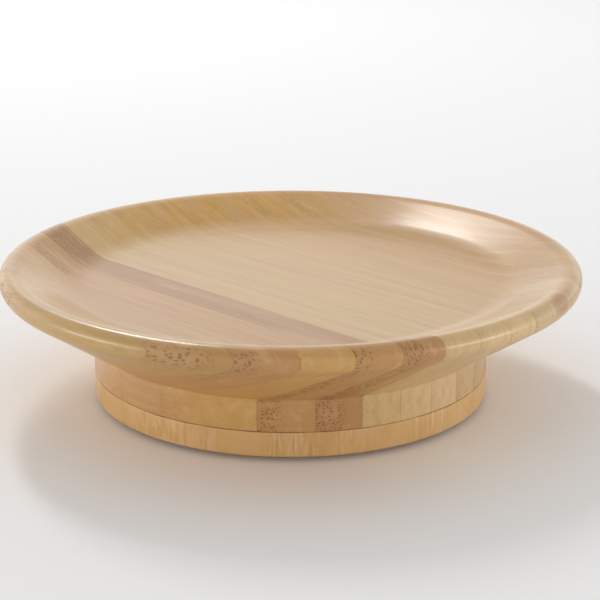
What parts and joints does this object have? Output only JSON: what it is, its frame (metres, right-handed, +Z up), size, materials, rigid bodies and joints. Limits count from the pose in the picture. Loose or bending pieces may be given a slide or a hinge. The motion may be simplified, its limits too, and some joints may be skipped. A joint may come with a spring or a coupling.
{
  "type": "lazy susan turntable",
  "caption": "Small round bamboo turntable: a shallow turned dish with a rolled rim and a drum under it, turning on a base disc on a hidden caged ball swivel.",
  "frame": {"origin": "on the table under the turning axis, at the level that the rubber pads stand on", "axes": "+Z up along the turning axis, +X to the viewer's right and -Y towards the viewer, with the dish open upwards"},
  "size_m": [0.1016, 0.1016, 0.0245],
  "materials": {
    "tray_bamboo": "satin clear lacquer over laminated bamboo",
    "base_bamboo": "satin clear lacquer over bamboo",
    "race_steel": "bright zinc plate",
    "rivet_steel": "zinc plate",
    "screw_steel": "yellow zinc plate",
    "ball_steel": "polished",
    "cage_nylon": "natural moulded nylon",
    "pad_rubber": "matte"
  },
  "bodies": {
    "base": {"base_disc": "base_bamboo", "rubber_pad_1": "pad_rubber", "rubber_pad_2": "pad_rubber", "rubber_pad_3": "pad_rubber", "rubber_pad_4": "pad_rubber", "lower_race_plate": "race_steel", "hub_rivet": "rivet_steel", "lower_screw_1": "screw_steel", "lower_screw_2": "screw_steel", "lower_screw_3": "screw_steel", "lower_screw_4": "screw_steel"},
    "turntable": {"tray": "tray_bamboo", "upper_race_plate": "race_steel", "upper_screw_1": "screw_steel", "upper_screw_2": "screw_steel", "upper_screw_3": "screw_steel", "upper_screw_4": "screw_steel"},
    "cage": {"ball_cage": "cage_nylon"},
    "ball_1": {"ball_1": "ball_steel"},
    "ball_2": {"ball_2": "ball_steel"},
    "ball_3": {"ball_3": "ball_steel"},
    "ball_4": {"ball_4": "ball_steel"},
    "ball_5": {"ball_5": "ball_steel"},
    "ball_6": {"ball_6": "ball_steel"},
    "ball_7": {"ball_7": "ball_steel"},
    "ball_8": {"ball_8": "ball_steel"},
    "ball_9": {"ball_9": "ball_steel"},
    "ball_10": {"ball_10": "ball_steel"},
    "ball_11": {"ball_11": "ball_steel"},
    "ball_12": {"ball_12": "ball_steel"}
  },
  "joints": [
    {"name": "turn", "type": "hinge", "parent": "base", "child": "turntable", "pos_m": [0, 0, 0.00818], "axis": [0, 0, 1], "continuous": true},
    {"name": "cage_turn", "type": "hinge", "parent": "base", "child": "cage", "pos_m": [0, 0, 0.00818], "axis": [0, 0, 1], "continuous": true},
    {"name": "ball_1_roll", "type": "hinge", "parent": "cage", "child": "ball_1", "pos_m": [0.016, 0, 0.00818], "axis": [1, 0, 0], "continuous": true},
    {"name": "ball_2_roll", "type": "hinge", "parent": "cage", "child": "ball_2", "pos_m": [0.01386, 0.008, 0.00818], "axis": [0.866, 0.5, 0], "continuous": true},
    {"name": "ball_3_roll", "type": "hinge", "parent": "cage", "child": "ball_3", "pos_m": [0.008, 0.01386, 0.00818], "axis": [0.5, 0.866, 0], "continuous": true},
    {"name": "ball_4_roll", "type": "hinge", "parent": "cage", "child": "ball_4", "pos_m": [0, 0.016, 0.00818], "axis": [0, 1, 0], "continuous": true},
    {"name": "ball_5_roll", "type": "hinge", "parent": "cage", "child": "ball_5", "pos_m": [-0.008, 0.01386, 0.00818], "axis": [-0.5, 0.866, 0], "continuous": true},
    {"name": "ball_6_roll", "type": "hinge", "parent": "cage", "child": "ball_6", "pos_m": [-0.01386, 0.008, 0.00818], "axis": [-0.866, 0.5, 0], "continuous": true},
    {"name": "ball_7_roll", "type": "hinge", "parent": "cage", "child": "ball_7", "pos_m": [-0.016, 0, 0.00818], "axis": [-1, 0, 0], "continuous": true},
    {"name": "ball_8_roll", "type": "hinge", "parent": "cage", "child": "ball_8", "pos_m": [-0.01386, -0.008, 0.00818], "axis": [-0.866, -0.5, 0], "continuous": true},
    {"name": "ball_9_roll", "type": "hinge", "parent": "cage", "child": "ball_9", "pos_m": [-0.008, -0.01386, 0.00818], "axis": [-0.5, -0.866, 0], "continuous": true},
    {"name": "ball_10_roll", "type": "hinge", "parent": "cage", "child": "ball_10", "pos_m": [0, -0.016, 0.00818], "axis": [0, -1, 0], "continuous": true},
    {"name": "ball_11_roll", "type": "hinge", "parent": "cage", "child": "ball_11", "pos_m": [0.008, -0.01386, 0.00818], "axis": [0.5, -0.866, 0], "continuous": true},
    {"name": "ball_12_roll", "type": "hinge", "parent": "cage", "child": "ball_12", "pos_m": [0.01386, -0.008, 0.00818], "axis": [0.866, -0.5, 0], "continuous": true}
  ],
  "couplings": [
    {"joint": "cage_turn", "follows": "turn", "ratio": 0.5},
    {"joint": "ball_1_roll", "follows": "turn", "ratio": -4},
    {"joint": "ball_2_roll", "follows": "turn", "ratio": -4},
    {"joint": "ball_3_roll", "follows": "turn", "ratio": -4},
    {"joint": "ball_4_roll", "follows": "turn", "ratio": -4},
    {"joint": "ball_5_roll", "follows": "turn", "ratio": -4},
    {"joint": "ball_6_roll", "follows": "turn", "ratio": -4},
    {"joint": "ball_7_roll", "follows": "turn", "ratio": -4},
    {"joint": "ball_8_roll", "follows": "turn", "ratio": -4},
    {"joint": "ball_9_roll", "follows": "turn", "ratio": -4},
    {"joint": "ball_10_roll", "follows": "turn", "ratio": -4},
    {"joint": "ball_11_roll", "follows": "turn", "ratio": -4},
    {"joint": "ball_12_roll", "follows": "turn", "ratio": -4}
  ]
}
